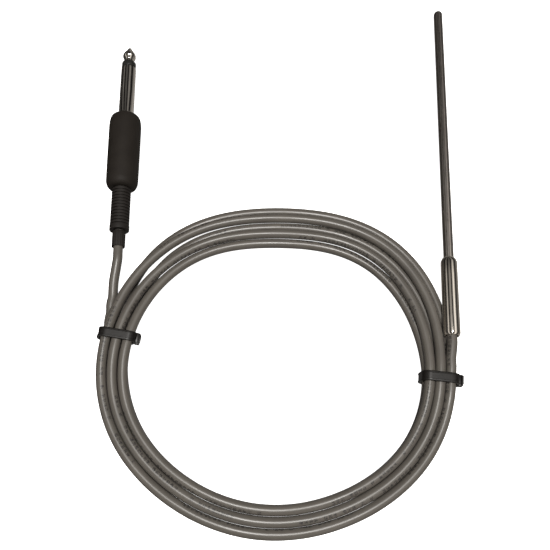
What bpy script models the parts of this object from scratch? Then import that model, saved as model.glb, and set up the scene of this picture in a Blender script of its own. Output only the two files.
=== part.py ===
"""Thermocouple: a stainless probe on a coiled lead that ends in a two-pole phone plug.

Metres, +Z up. The origin is under the middle of the probe, on the surface that everything lies on.
The probe runs roughly along +Y. The coil and the plug lie on its -X side.
"""

import math

import bmesh
import bpy
from mathutils import Matrix, Vector

MM = 0.001
GAP = 0.3 * MM  # between pieces that touch

# Cable
CABLE_RADIUS = 1.9 * MM
CORE_RADIUS = 0.65 * MM

# Probe, measured along its axis from the rear face of the sleeve
SHEATH_RADIUS = 1.985 * MM
SHEATH_BORE = 1.63 * MM
SHEATH_EXPOSED = 127.0 * MM
SHEATH_INSERTED = 10.0 * MM
SLEEVE_RADIUS = 3.175 * MM
SLEEVE_LENGTH = 31.75 * MM
SLEEVE_CAVITY = 2.6 * MM
CABLE_INSERTED = 8.0 * MM
CRIMP = (12.6 * MM, 16.6 * MM)  # rear and front of the splices
POTTING = (10.6 * MM, 20.2 * MM)
WIRE_RADIUS = 0.2 * MM
LEG_OFFSET = 1.15 * MM  # of each splice from the axis
WIRE_OFFSET = 0.68 * MM  # of each wire in the ceramic
JUNCTION_PROFILE = ((0, 0), (0.8, 0.3), (1.0, 0.8), (0.7, 1.4), (0, 1.6))  # radius and height in mm
PROBE_LENGTH = SLEEVE_LENGTH + SHEATH_EXPOSED
PROBE_REAR = Vector((-4.6 * MM, -79.05 * MM, 7.3 * MM))
PROBE_YAW = math.radians(3.8)

# Plug, measured along its axis from the front face of the flange, which seats on the jack
PLUG_SEAT = Vector((-135.0 * MM, 18.3 * MM, 6.7 * MM))
PLUG_YAW = math.radians(-1.9)
FINGER_LENGTH = 36.0 * MM
TIP_PROFILE = (  # radius and distance back from the end, in mm
    (0.5, 0.1), (0.8, 0.6), (1.25, 1.6), (1.9, 2.7), (2.5, 3.6), (2.75, 4.3), (2.85, 5.0),
    (2.75, 5.6), (2.2, 6.2), (1.8, 6.7), (1.8, 7.1), (2.15, 7.7), (2.5, 8.1),
)
TIP_SHOULDER = FINGER_LENGTH - 8.3 * MM
RING_FRONT = TIP_SHOULDER - GAP  # of the black ring between the tip contact and the barrel
RING_REAR = RING_FRONT - 2.6 * MM
RING_RADIUS = 3.05 * MM
BARREL_FRONT = RING_REAR - GAP
BARREL_RADIUS = 3.175 * MM
BARREL_BORE = 2.3 * MM
ROD_RADIUS = 1.1 * MM
ROD_END = -10.9 * MM
ON_ROD = ROD_RADIUS + GAP  # bore of every piece that is threaded on the rod
ROD_SLEEVE_RADIUS = 2.0 * MM
FLANGE_RADIUS = 4.2 * MM
FLANGE_THICKNESS = 0.8 * MM
BOSS_RADIUS = 3.95 * MM
BOSS_END = -7.0 * MM
THREAD_PITCH = 0.9 * MM
THREAD_DEPTH = 0.35 * MM
THREAD_CRESTS = 6
WASHER = (3.0 * MM, BOSS_END - 1.9 * MM, BOSS_END - 1.1 * MM)  # radius, rear and front
RIVET = (2.1 * MM, ROD_END, ROD_END + 0.9 * MM)
LUG_THICKNESS = 0.5 * MM
LUG_WIDTH = 3.4 * MM
SLEEVE_LUG_DISC = 3.9 * MM
TIP_LUG_DISC = 3.1 * MM
TIP_LUG_TAIL = -16.4 * MM
CLAMP_RADIUS = 3.6 * MM
CLAMP_LENGTH = 4.0 * MM
CABLE_END_IN_PLUG = -23.4 * MM
CLAMP_FRONT = CABLE_END_IN_PLUG - MM
SOLDER_PROFILE = ((0, -1.2), (0.7, -0.8), (0.95, 0), (0.7, 0.8), (0, 1.2))  # radius and height in mm
PLUG_LEGS = (  # name, distances off the axis at the cable and at the lug, solder joint, colour
    ("tip", 0.95 * MM, 1.35 * MM, -14.6 * MM, "core_positive"),
    ("sleeve", -0.95 * MM, -2.15 * MM, -17.2 * MM, "core_negative"),
)

# Cover and boot, which turn and slide on the plug
COVER_FRONT = -FLANGE_THICKNESS - GAP
COVER_LENGTH = 34.2 * MM
COVER_REAR = COVER_FRONT - COVER_LENGTH
COVER_FRONT_PROFILE = (  # radius and distance back from the front, in mm
    (5.5, 0), (6.0, 0.5), (6.35, 1.5), (6.56, 2.9), (6.65, 4.6),
)
COVER_REAR_PROFILE = (  # radius and distance ahead of the rear, in mm
    (6.45, 3.4), (6.3, 2.2), (5.9, 1.2), (5.3, 0.5), (4.6, 0.12), (4.0, 0),
)
COVER_BORE = BOSS_RADIUS + GAP
COVER_CAVITY = 5.5 * MM
COVER_CAVITY_FRONT = BOSS_END - 0.6 * MM
COVER_REAR_HOLE = 3.5 * MM
LINER = (4.9 * MM, 5.2 * MM, -29.1 * MM, -8.6 * MM)  # inner and outer radius, rear and front
BOOT_FRONT = COVER_REAR - GAP
BOOT_RADIUS = 3.8 * MM
BOOT_LENGTH = 18.5 * MM
BOOT_REAR = BOOT_FRONT - BOOT_LENGTH
BOOT_RIBS = 13
RIB_DEPTH = 0.9 * MM
BAND_RADIUS = 3.9 * MM
BAND_LENGTH = 2.4 * MM
BOOT_NECK = COVER_REAR_HOLE - GAP
BOOT_FLANGE = 4.5 * MM
COLLAR_FRONT = BOOT_REAR - GAP
COLLAR_RADIUS = 2.6 * MM
COLLAR_LENGTH = 6.7 * MM
COLLAR_FLARE = 0.22 * MM  # how much wider the bore is at the rear, where the lead begins to bend

# Coil: an oval bundle with three lanes below and three above, spread flat along its far side
COIL_CENTRE = Vector((-70.7 * MM, -88.1 * MM, 0))
COIL_HALF_WIDTH = 60.9 * MM
COIL_HALF_DEPTH = 55.9 * MM
SHOULDER = 0.0204  # share by which the diagonals bulge beyond an oval
FAR_SHOULDER = 0.0285
RIGHT_SHOULDER = 0.0113
LANE = 3.9 * MM
UPPER_LAYER = 2 * CABLE_RADIUS
FAR_SPREAD = 3.1 * MM
FAR_LAYER = 2.0 * MM
COIL_STATIONS = 72
PLUG_LEAD_JOINS = math.radians(165)
PROBE_LEAD_JOINS = math.radians(-1)

# Cable ties
TIE_ANGLES = {"left": math.radians(170.8), "right": math.radians(-6.2)}
TIE_HEAD_SIDE = {"left": -1, "right": 1}
TIE_WIDTH = 3.6 * MM
TIE_THICKNESS = 1.1 * MM
TIE_HEAD = Vector((5.0 * MM, 2.6 * MM, 3.4 * MM))
TIE_LIFT = TIE_THICKNESS + GAP
TIE_LIFT_ANGLE = math.radians(16)
TIE_LEVEL_ANGLE = math.radians(3)


def clear_scene():
    for old in list(bpy.data.objects):
        bpy.data.objects.remove(old, do_unlink=True)


def material(name, colour, roughness, metallic=0.0):
    made = bpy.data.materials.new(name)
    made.use_nodes = True
    made.diffuse_color = (*colour, 1)
    shader = made.node_tree.nodes["Principled BSDF"]
    shader.inputs["Base Color"].default_value = (*colour, 1)
    shader.inputs["Roughness"].default_value = roughness
    shader.inputs["Metallic"].default_value = metallic
    return made


def along(origin, yaw, pitch=0.0):
    """Lays local +Z along a line that runs yaw radians to the right of +Y and dips by pitch."""
    direction = Vector((
        math.sin(yaw) * math.cos(pitch),
        math.cos(yaw) * math.cos(pitch),
        -math.sin(pitch),
    ))
    across = direction.cross(Vector((0, 0, 1))).normalized()
    down = direction.cross(across)
    turn = Matrix((across, down, direction)).transposed().to_4x4()
    return Matrix.Translation(origin) @ turn


def add_mesh(name, bm, look, place):
    bmesh.ops.recalc_face_normals(bm, faces=bm.faces)
    mesh = bpy.data.meshes.new(name)
    bm.to_mesh(mesh)
    bm.free()
    mesh.materials.append(look)
    mesh.shade_smooth()
    mesh.set_sharp_from_angle(angle=math.radians(35))
    made = bpy.data.objects.new(name, mesh)
    made.matrix_world = place
    bpy.context.scene.collection.objects.link(made)
    return made


def turned(name, outline, sides, look, place):
    """A body of revolution about local Z from a closed outline of (radius, height)."""
    bm = bmesh.new()
    ring = [bm.verts.new((radius, 0, height)) for radius, height in outline]
    edges = [bm.edges.new(pair) for pair in zip(ring, ring[1:] + ring[:1])]
    bmesh.ops.spin(
        bm, geom=ring + edges, axis=(0, 0, 1), cent=(0, 0, 0),
        angle=math.tau, steps=sides, use_merge=True,
    )
    bmesh.ops.remove_doubles(bm, verts=bm.verts, dist=1e-7)
    loose = [edge for edge in bm.edges if not edge.link_faces]
    bmesh.ops.delete(bm, geom=loose, context="EDGES")
    return add_mesh(name, bm, look, place)


def tube(inner, outer, low, high):
    return [(inner, low), (outer, low), (outer, high), (inner, high)]


def rod(radius, low, high):
    return tube(0, radius, low, high)


def box(name, size, centre, look, place):
    bm = bmesh.new()
    bmesh.ops.create_cube(bm, size=1, matrix=Matrix.Translation(centre) @ Matrix.Diagonal((*size, 1)))
    return add_mesh(name, bm, look, place)


def boolean(target, other, operation):
    """Joins or cuts with a helper that isn't part of the model."""
    step = target.modifiers.new(operation.lower(), "BOOLEAN")
    step.operation = operation
    step.object = other
    other.hide_render = True
    other.display_type = "WIRE"


def extruded(name, outline, half_width, look, place):
    """A plate: a closed outline of local (y, z) points, extruded across local X."""
    bm = bmesh.new()
    near = [bm.verts.new((-half_width, y, z)) for y, z in outline]
    face = bm.faces.new(near)
    moved = bmesh.ops.extrude_face_region(bm, geom=[face])["geom"]
    moved_verts = [item for item in moved if isinstance(item, bmesh.types.BMVert)]
    bmesh.ops.translate(bm, vec=(2 * half_width, 0, 0), verts=moved_verts)
    return add_mesh(name, bm, look, place)


def smooth_points(route, spacing):
    """Evenly spaced points on a Catmull-Rom curve through the route."""
    padded = [2 * route[0] - route[1], *route, 2 * route[-1] - route[-2]]
    fine = [route[0]]
    for a, b, c, d in zip(padded, padded[1:], padded[2:], padded[3:]):
        for step in range(1, 21):
            t = step / 20
            fine.append(0.5 * (
                2 * b + (c - a) * t + (2 * a - 5 * b + 4 * c - d) * t * t
                + (3 * b - a - 3 * c + d) * t ** 3
            ))
    lengths = [0.0]
    for p, q in zip(fine, fine[1:]):
        lengths.append(lengths[-1] + (q - p).length)
    count = max(2, round(lengths[-1] / spacing))
    points = []
    place = 0
    for number in range(count + 1):
        wanted = lengths[-1] * number / count
        while place < len(fine) - 2 and lengths[place + 1] < wanted:
            place += 1
        share = (wanted - lengths[place]) / (lengths[place + 1] - lengths[place])
        points.append(fine[place].lerp(fine[place + 1], share))
    return points


def cord_tube(name, route, radius, look, spacing=9 * MM, sides=2):
    curve = bpy.data.curves.new(name, "CURVE")
    curve.dimensions = "3D"
    curve.bevel_depth = radius
    curve.bevel_resolution = sides
    curve.use_fill_caps = True
    curve.materials.append(look)
    points = smooth_points(route, spacing)
    spline = curve.splines.new("POLY")
    spline.points.add(len(points) - 1)
    for place, point in zip(spline.points, points):
        place.co = (*point, 1)
    spline.use_smooth = True
    made = bpy.data.objects.new(name, curve)
    bpy.context.scene.collection.objects.link(made)
    return made


def cutter_along(name, route, radius, look):
    """A closed mesh tube along the route, for cutting a groove."""
    guide = cord_tube(name + "_guide", route, radius, look, 4 * MM)
    bpy.context.view_layer.update()
    mesh = bpy.data.meshes.new_from_object(guide)
    bpy.data.objects.remove(guide, do_unlink=True)
    bm = bmesh.new()
    bm.from_mesh(mesh)
    bmesh.ops.remove_doubles(bm, verts=bm.verts, dist=1e-7)
    return add_mesh(name, bm, look, Matrix.Identity(4))


def coil_radius(angle):
    """Distance from the coil's centre to the middle of the bundle."""
    across = math.cos(angle) / COIL_HALF_WIDTH
    deep = math.sin(angle) / COIL_HALF_DEPTH
    shoulder = SHOULDER + FAR_SHOULDER * math.sin(angle) + RIGHT_SHOULDER * math.cos(angle)
    bulge = shoulder * math.sin(2 * angle) ** 2
    return (1 + bulge) / math.hypot(across, deep)


def coil_point(angle, outward, height):
    reach = coil_radius(angle) + outward
    return COIL_CENTRE + Vector((reach * math.cos(angle), reach * math.sin(angle), height))


def tie_lift(angle):
    """How far the bundle is raised by the strap of the nearest tie under it."""
    nearest = min(
        abs(math.remainder(angle - tie, math.tau)) for tie in TIE_ANGLES.values()
    )
    fade = (nearest - TIE_LEVEL_ANGLE) / (TIE_LIFT_ANGLE - TIE_LEVEL_ANGLE)
    fade = min(1.0, max(0.0, fade))
    return TIE_LIFT * (1 + math.cos(math.pi * fade)) / 2


def bundle_section(angle, grow=0.0):
    """The bundle's outline as (outward, height): the hull of its lanes, grown by a margin."""
    far = max(0.0, math.sin(angle)) ** 2
    low = CABLE_RADIUS + tie_lift(angle)
    top = low + UPPER_LAYER * (1 - far) + FAR_LAYER * far
    reach = CABLE_RADIUS + grow
    right = [(LANE + FAR_SPREAD * far, low, a) for a in (-90, -45, 0, 20)]
    right += [(LANE, top, a) for a in (20, 55, 90)]
    points = [
        (x + reach * math.cos(math.radians(a)), z + reach * math.sin(math.radians(a)))
        for x, z, a in right
    ]
    return points + [(-x, z) for x, z in reversed(points)]


def coil_ring(look):
    bm = bmesh.new()
    rings = []
    for station in range(COIL_STATIONS):
        angle = math.tau * station / COIL_STATIONS
        rings.append([bm.verts.new(coil_point(angle, x, z)) for x, z in bundle_section(angle)])
    for first, second in zip(rings, rings[1:] + rings[:1]):
        for a, b, c, d in zip(first, first[1:] + first[:1], second[1:] + second[:1], second):
            bm.faces.new((a, b, c, d))
    return add_mesh("cable_coil", bm, look, Matrix.Identity(4))


def tie(side, look):
    """A nylon cable tie: a strap round the bundle, its locking head and the cut tail."""
    angle = TIE_ANGLES[side]
    centre = coil_point(angle, 0, 0)
    outward = Vector((math.cos(angle), math.sin(angle), 0))
    backward = Vector((math.sin(angle), -math.cos(angle), 0))
    turn = Matrix((backward, outward, Vector((0, 0, 1)))).transposed().to_4x4()
    place = Matrix.Translation(centre) @ turn
    strap = extruded(
        "cable_tie_" + side, bundle_section(angle, GAP + TIE_THICKNESS), TIE_WIDTH / 2, look, place,
    )
    hole = extruded(
        "tie_hole_" + side, bundle_section(angle, GAP), TIE_WIDTH, look, place,
    )
    reach = LANE + CABLE_RADIUS + GAP + TIE_HEAD.y / 2
    spot = Vector((0, TIE_HEAD_SIDE[side] * reach, CABLE_RADIUS + TIE_LIFT + UPPER_LAYER / 2))
    head = box("tie_head_" + side, TIE_HEAD, spot, look, place)
    boolean(strap, head, "UNION")
    boolean(strap, hole, "DIFFERENCE")
    return strap


def make_cord(looks):
    """The lead: two free stretches, the coil that they run into, and the ties."""
    plug = along(PLUG_SEAT, PLUG_YAW)
    probe = probe_place()
    plug_end = (CABLE_END_IN_PLUG, -36.4 * MM, -51.4 * MM, -62.4 * MM, -68.4 * MM)
    plug_route = [plug @ Vector((0, 0, z)) for z in plug_end]
    plug_route += [
        coil_point(math.radians(153), 10.2 * MM, 5.2 * MM),
        coil_point(math.radians(158), 7.4 * MM, 4.1 * MM),
        coil_point(PLUG_LEAD_JOINS, 5.2 * MM, 3.0 * MM),
    ]
    probe_route = [probe @ Vector((0, 0, z * MM)) for z in (8, 4, 0, -4)]
    probe_route.append(coil_point(math.radians(3), 4.2 * MM, 7.2 * MM))
    probe_route.append(coil_point(PROBE_LEAD_JOINS, 3.8 * MM, 7.0 * MM))
    cord_tube("cable_to_plug", plug_route, CABLE_RADIUS, looks["jacket"])
    cord_tube("cable_to_probe", probe_route, CABLE_RADIUS, looks["jacket"], 5 * MM)
    coil = coil_ring(looks["jacket"])
    for name, route in (("plug_groove", plug_route), ("probe_groove", probe_route)):
        end = route[-1] + (route[-1] - route[-2]).normalized() * 1.5 * GAP
        groove = cutter_along(name, route[:-1] + [end], CABLE_RADIUS + 1.8 * GAP, looks["jacket"])
        boolean(coil, groove, "DIFFERENCE")
    sleeve_groove = turned(
        "sleeve_groove", rod(SLEEVE_RADIUS + GAP, -GAP, PROBE_LENGTH), 24, looks["jacket"], probe,
    )
    boolean(coil, sleeve_groove, "DIFFERENCE")
    for side in TIE_ANGLES:
        tie(side, looks["nylon"])


def probe_place():
    """The probe lies on its tip and on the coil, so its rear end is the higher one."""
    drop = PROBE_REAR.z - SHEATH_RADIUS
    return along(PROBE_REAR, PROBE_YAW, math.asin(drop / (PROBE_LENGTH - SHEATH_RADIUS)))


def sheath_outline():
    """A tube that is closed by its rounded tip and open at the rear."""
    rear = SLEEVE_LENGTH - SHEATH_INSERTED
    round_start = PROBE_LENGTH - SHEATH_RADIUS
    tip = [
        (SHEATH_RADIUS * math.cos(math.radians(a)), round_start + SHEATH_RADIUS * math.sin(math.radians(a)))
        for a in (0, 18, 36, 54, 72)
    ]
    return [
        (SHEATH_BORE, rear), (SHEATH_RADIUS, rear), *tip, (0, PROBE_LENGTH),
        (0, round_start), (SHEATH_BORE, round_start - 0.6 * MM),
    ]


def sleeve_outline():
    narrow = SHEATH_RADIUS + GAP
    chamfer = 1.0 * MM
    edge = 0.3 * MM
    cavity = (10.0 * MM, SLEEVE_LENGTH - SHEATH_INSERTED - 0.5 * MM)
    return [
        (narrow, 0), (SLEEVE_RADIUS - edge, 0), (SLEEVE_RADIUS, edge),
        (SLEEVE_RADIUS, SLEEVE_LENGTH - chamfer), (SLEEVE_RADIUS - 0.35 * MM, SLEEVE_LENGTH),
        (narrow, SLEEVE_LENGTH), (narrow, cavity[1]), (SLEEVE_CAVITY, cavity[1] - 0.5 * MM),
        (SLEEVE_CAVITY, cavity[0] + 0.5 * MM), (narrow, cavity[0]),
    ]


def two_bored(name, outline, bore, offset, look, place):
    """A cylinder with one through bore for each leg of the circuit."""
    low = outline[0][1]
    high = outline[-1][1]
    body = turned(name, outline, 24, look, place)
    for side in (-1, 1):
        shift = place @ Matrix.Translation((side * offset, 0, 0))
        hole = turned(f"{name}_bore_{side}", rod(bore, low - MM, high + MM), 12, look, shift)
        boolean(body, hole, "DIFFERENCE")


def make_probe(looks):
    place = probe_place()
    turned("sheath_tube", sheath_outline(), 28, looks["sheath_steel"], place)
    turned("transition_sleeve", sleeve_outline(), 32, looks["sleeve_steel"], place)
    sheath_rear = SLEEVE_LENGTH - SHEATH_INSERTED
    junction = PROBE_LENGTH - 4.2 * MM
    resin = rod(SLEEVE_CAVITY - GAP, *POTTING)
    two_bored("potting", resin, CORE_RADIUS + GAP, LEG_OFFSET, looks["epoxy"], place)
    ceramic = rod(SHEATH_BORE - GAP, sheath_rear + MM, junction - 0.9 * MM)
    two_bored("insulator_core", ceramic, WIRE_RADIUS + GAP, WIRE_OFFSET, looks["ceramic"], place)
    for leg, side in (("positive", -1), ("negative", 1)):
        wire_route = [
            (side * LEG_OFFSET, CRIMP[1] + GAP), (side * LEG_OFFSET, POTTING[1] - 1.2 * MM),
            (side * WIRE_OFFSET, sheath_rear + 0.4 * MM), (side * WIRE_OFFSET, 60 * MM),
            (side * WIRE_OFFSET, junction - 0.2 * MM),
        ]
        wire_points = [place @ Vector((x, 0, z)) for x, z in wire_route]
        cord_tube("thermo_wire_" + leg, wire_points, WIRE_RADIUS, looks["wire_" + leg], 4 * MM, 1)
        at_leg = place @ Matrix.Translation((side * LEG_OFFSET, 0, 0))
        turned("splice_crimp_" + leg, rod(CORE_RADIUS, *CRIMP), 14, looks["tin"], at_leg)
        core = rod(CORE_RADIUS, CABLE_INSERTED + GAP, CRIMP[0] - GAP)
        turned("probe_core_" + leg, core, 14, looks["core_" + leg], at_leg)
    bead = [(radius * MM, junction + z * MM) for radius, z in JUNCTION_PROFILE]
    turned("junction_bead", bead, 14, looks["tin"], place)


def tip_outline():
    """The pointed tip contact, its detent groove, and the rod that runs back through the plug."""
    front = [(radius * MM, FINGER_LENGTH - back * MM) for radius, back in TIP_PROFILE]
    shoulder = (front[-1][0], TIP_SHOULDER)
    tail = [(ROD_RADIUS, TIP_SHOULDER), (ROD_RADIUS, ROD_END), (0, ROD_END)]
    return [(0, FINGER_LENGTH), *front, shoulder, *tail]


def ring_outline():
    chamfer = 0.6 * MM
    return [
        (ON_ROD, RING_REAR), (RING_RADIUS, RING_REAR), (RING_RADIUS, RING_FRONT - chamfer),
        (RING_RADIUS - chamfer, RING_FRONT), (ON_ROD, RING_FRONT),
    ]


def barrel_outline():
    chamfer = 0.3 * MM
    edge = 0.15 * MM
    thread = []
    for crest in range(THREAD_CRESTS):
        start = -FLANGE_THICKNESS - 0.4 * MM - crest * THREAD_PITCH
        thread += [(BOSS_RADIUS - THREAD_DEPTH, start), (BOSS_RADIUS, start - THREAD_PITCH / 2)]
    return [
        (BARREL_BORE, BARREL_FRONT), (BARREL_RADIUS - chamfer, BARREL_FRONT),
        (BARREL_RADIUS, BARREL_FRONT - chamfer), (BARREL_RADIUS, 0), (FLANGE_RADIUS - edge, 0),
        (FLANGE_RADIUS, -edge), (FLANGE_RADIUS, -FLANGE_THICKNESS), *thread,
        (BOSS_RADIUS - THREAD_DEPTH, BOSS_END), (BARREL_BORE, BOSS_END),
    ]


def cover_outline():
    front = [(radius * MM, COVER_FRONT - back * MM) for radius, back in COVER_FRONT_PROFILE]
    rear = [(radius * MM, COVER_REAR + ahead * MM) for radius, ahead in COVER_REAR_PROFILE]
    floor = COVER_REAR + 3.2 * MM
    return [
        (COVER_BORE, COVER_FRONT), *front, *rear, (COVER_REAR_HOLE, COVER_REAR),
        (COVER_REAR_HOLE, floor), (COVER_CAVITY - 0.7 * MM, floor + 0.6 * MM),
        (COVER_CAVITY, floor + 2.4 * MM), (COVER_CAVITY, COVER_CAVITY_FRONT - 0.6 * MM),
        (COVER_BORE, COVER_CAVITY_FRONT),
    ]


def boot_outline():
    """The boot's neck and inner flange sit in the cover; its ribs and last band show."""
    bore = CABLE_RADIUS + GAP
    pitch = (BOOT_LENGTH - BAND_LENGTH) / BOOT_RIBS
    ribs = []
    for number in range(BOOT_RIBS):
        top = BOOT_FRONT - number * pitch
        ribs += [
            (BOOT_RADIUS, top), (BOOT_RADIUS, top - 0.62 * pitch),
            (BOOT_RADIUS - RIB_DEPTH, top - 0.7 * pitch), (BOOT_RADIUS - RIB_DEPTH, top - 0.92 * pitch),
        ]
    inner_end = COVER_REAR + 5.4 * MM
    edge = 0.3 * MM
    return [
        (bore, inner_end), (BOOT_FLANGE, inner_end), (BOOT_FLANGE, inner_end - 1.2 * MM),
        (BOOT_NECK, inner_end - 2.0 * MM), (BOOT_NECK, BOOT_FRONT), *ribs,
        (BAND_RADIUS, BOOT_REAR + BAND_LENGTH), (BAND_RADIUS, BOOT_REAR + edge),
        (BAND_RADIUS - edge, BOOT_REAR), (bore, BOOT_REAR),
    ]


def collar_outline():
    rear = COLLAR_FRONT - COLLAR_LENGTH
    bore = CABLE_RADIUS + GAP
    edge = 0.08 * MM
    return [
        (bore, COLLAR_FRONT), (COLLAR_RADIUS, COLLAR_FRONT), (COLLAR_RADIUS, rear + edge),
        (COLLAR_RADIUS - edge, rear), (bore + COLLAR_FLARE, rear),
    ]


def lug(name, side, disc, hole, front, tail, look, place):
    """A solder lug: a pierced disc across the axis with a strip running back from its edge."""
    made = turned(name, tube(hole, disc, front - LUG_THICKNESS, front), 28, look, place)
    middle = Vector((0, side * (disc - LUG_THICKNESS / 2), (front + tail) / 2))
    strip = box(name + "_strip", Vector((LUG_WIDTH, LUG_THICKNESS, front - tail)), middle, look, place)
    boolean(made, strip, "UNION")
    return made


def make_plug_insides(looks, place):
    """What the cover hides: the rod's fittings, the lugs, the two cores and the liner."""
    rod_sleeve = tube(ON_ROD, ROD_SLEEVE_RADIUS, WASHER[2] + GAP, RING_REAR - GAP)
    turned("rod_insulator", rod_sleeve, 20, looks["liner"], place)
    turned("insulating_washer", tube(ON_ROD, *WASHER), 24, looks["fibre"], place)
    turned("rod_rivet", tube(ON_ROD, *RIVET), 20, looks["tin"], place)

    clamp_rear = CLAMP_FRONT - CLAMP_LENGTH
    sleeve_lug = lug(
        "sleeve_lug", -1, SLEEVE_LUG_DISC, BARREL_BORE, BOSS_END - GAP, clamp_rear, looks["tin"], place,
    )
    clamp_ring = tube(CABLE_RADIUS + GAP, CLAMP_RADIUS, clamp_rear, CLAMP_FRONT)
    clamp = turned("clamp_ring", clamp_ring, 20, looks["tin"], place)
    boolean(sleeve_lug, clamp, "UNION")
    lug("tip_lug", 1, TIP_LUG_DISC, ON_ROD, WASHER[1] - GAP, TIP_LUG_TAIL, looks["tin"], place)

    cable_face = CABLE_END_IN_PLUG + GAP
    bead = [(radius * MM, z * MM) for radius, z in SOLDER_PROFILE]
    for leg, start, reach, solder_at, colour in PLUG_LEGS:
        route = [
            (start, cable_face), (start, cable_face + 1.2 * MM),
            (reach, solder_at - 3 * MM), (reach, solder_at - 1.6 * MM),
        ]
        core_points = [place @ Vector((0, y, z)) for y, z in route]
        cord_tube("plug_core_" + leg, core_points, CORE_RADIUS, looks[colour], 1.5 * MM)
        at_joint = place @ Matrix.Translation((0, reach, solder_at))
        turned("solder_joint_" + leg, bead, 12, looks["tin"], at_joint)
    turned("cover_liner", tube(*LINER), 28, looks["liner"], place)


def make_plug(looks):
    place = along(PLUG_SEAT, PLUG_YAW)
    turned("tip_contact", tip_outline(), 28, looks["nickel"], place)
    turned("tip_insulator", ring_outline(), 28, looks["black"], place)
    turned("plug_barrel", barrel_outline(), 32, looks["nickel"], place)
    make_plug_insides(looks, place)
    turned("plug_cover", cover_outline(), 40, looks["black"], place)
    turned("cover_boot", boot_outline(), 24, looks["black"], place)
    turned("boot_collar", collar_outline(), 24, looks["black"], place)


def main():
    clear_scene()
    looks = {
        "jacket": material("grey_pvc", (0.12, 0.112, 0.1), 0.42),
        "nylon": material("black_nylon", (0.012, 0.011, 0.01), 0.35),
        "black": material("black_plastic", (0.014, 0.013, 0.012), 0.5),
        "nickel": material("nickel_plate", (0.62, 0.6, 0.57), 0.12, 1.0),
        "sleeve_steel": material("polished_steel", (0.55, 0.53, 0.5), 0.12, 1.0),
        "sheath_steel": material("brushed_steel", (0.36, 0.34, 0.32), 0.28, 1.0),
        "tin": material("tinned_brass", (0.6, 0.58, 0.5), 0.3, 1.0),
        "liner": material("clear_vinyl", (0.6, 0.58, 0.5), 0.3),
        "fibre": material("red_fibre", (0.25, 0.06, 0.03), 0.7),
        "ceramic": material("white_ceramic", (0.75, 0.72, 0.66), 0.7),
        "epoxy": material("grey_epoxy", (0.05, 0.05, 0.05), 0.45),
        "wire_positive": material("chromel", (0.5, 0.46, 0.4), 0.3, 1.0),
        "wire_negative": material("alumel", (0.4, 0.4, 0.38), 0.3, 1.0),
        "core_positive": material("yellow_core", (0.6, 0.42, 0.04), 0.45),
        "core_negative": material("red_core", (0.5, 0.03, 0.02), 0.45),
    }
    make_probe(looks)
    make_plug(looks)
    make_cord(looks)


main()
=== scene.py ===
"""The looks of a thermocouple: a stainless probe on a coiled grey lead that ends in a phone plug.

Metres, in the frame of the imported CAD: +Z up, +Y roughly along the probe, the coil on its -X side.
"""

import math

import bmesh
import bpy
import numpy as np
from mathutils import Matrix, Vector


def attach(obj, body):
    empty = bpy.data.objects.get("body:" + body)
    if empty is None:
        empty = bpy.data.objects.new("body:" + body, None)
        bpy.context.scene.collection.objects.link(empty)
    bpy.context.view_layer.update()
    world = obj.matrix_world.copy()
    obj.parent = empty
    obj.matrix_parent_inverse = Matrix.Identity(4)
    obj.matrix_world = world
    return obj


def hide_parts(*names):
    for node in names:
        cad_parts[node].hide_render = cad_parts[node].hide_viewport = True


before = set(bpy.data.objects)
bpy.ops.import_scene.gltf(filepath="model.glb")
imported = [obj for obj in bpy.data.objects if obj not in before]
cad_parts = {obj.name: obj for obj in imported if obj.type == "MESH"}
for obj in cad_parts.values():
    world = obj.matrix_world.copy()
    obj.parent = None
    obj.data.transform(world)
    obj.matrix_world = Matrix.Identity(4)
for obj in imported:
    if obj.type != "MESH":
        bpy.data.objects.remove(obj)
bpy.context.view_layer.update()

MM = 0.001
ROOT = "probe_and_lead"

# The lead and the coil, as in the CAD
CABLE_RADIUS = 1.9 * MM
COIL_CENTRE = Vector((-70.7 * MM, -88.1 * MM, 0))
COIL_HALF_WIDTH = 60.9 * MM
COIL_HALF_DEPTH = 55.9 * MM
SHOULDER = 0.0204
FAR_SHOULDER = 0.0285
RIGHT_SHOULDER = 0.0113
TIE_ANGLES = {"left": 170.8, "right": -6.2}
TIE_HEAD_SIDE = {"left": -1, "right": 1}
TIE_THICKNESS = 1.1 * MM
TIE_LIFT = 1.4 * MM
TIE_LIFT_ANGLE = 16
TIE_LEVEL_ANGLE = 3

# The probe and the plug, as in the CAD
SHEATH_RADIUS = 1.985 * MM
SLEEVE_RADIUS = 3.175 * MM
SLEEVE_LENGTH = 31.75 * MM
PROBE_LENGTH = 158.75 * MM
PROBE_REAR = Vector((-4.6 * MM, -79.05 * MM, 7.3 * MM))
PROBE_YAW = math.radians(3.8)
PLUG_SEAT = Vector((-135.0 * MM, 18.3 * MM, 6.7 * MM))
PLUG_YAW = math.radians(-1.9)


def along(origin, yaw, pitch=0.0):
    """Lays local +Z along a line that runs yaw radians to the right of +Y and dips by pitch."""
    direction = Vector((
        math.sin(yaw) * math.cos(pitch), math.cos(yaw) * math.cos(pitch), -math.sin(pitch),
    ))
    across = direction.cross(Vector((0, 0, 1))).normalized()
    down = direction.cross(across)
    return Matrix.Translation(origin) @ Matrix((across, down, direction)).transposed().to_4x4()


PLUG = along(PLUG_SEAT, PLUG_YAW)
PROBE_PITCH = math.asin((PROBE_REAR.z - SHEATH_RADIUS) / (PROBE_LENGTH - SHEATH_RADIUS))
PROBE = along(PROBE_REAR, PROBE_YAW, PROBE_PITCH)


# ---------------------------------------------------------------- shader helpers

MIX_SHARE = 0  # sockets of a Mix node that mixes colours
MIX_COLOURS = (6, 7)
MIX_RESULT = 2


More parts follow.
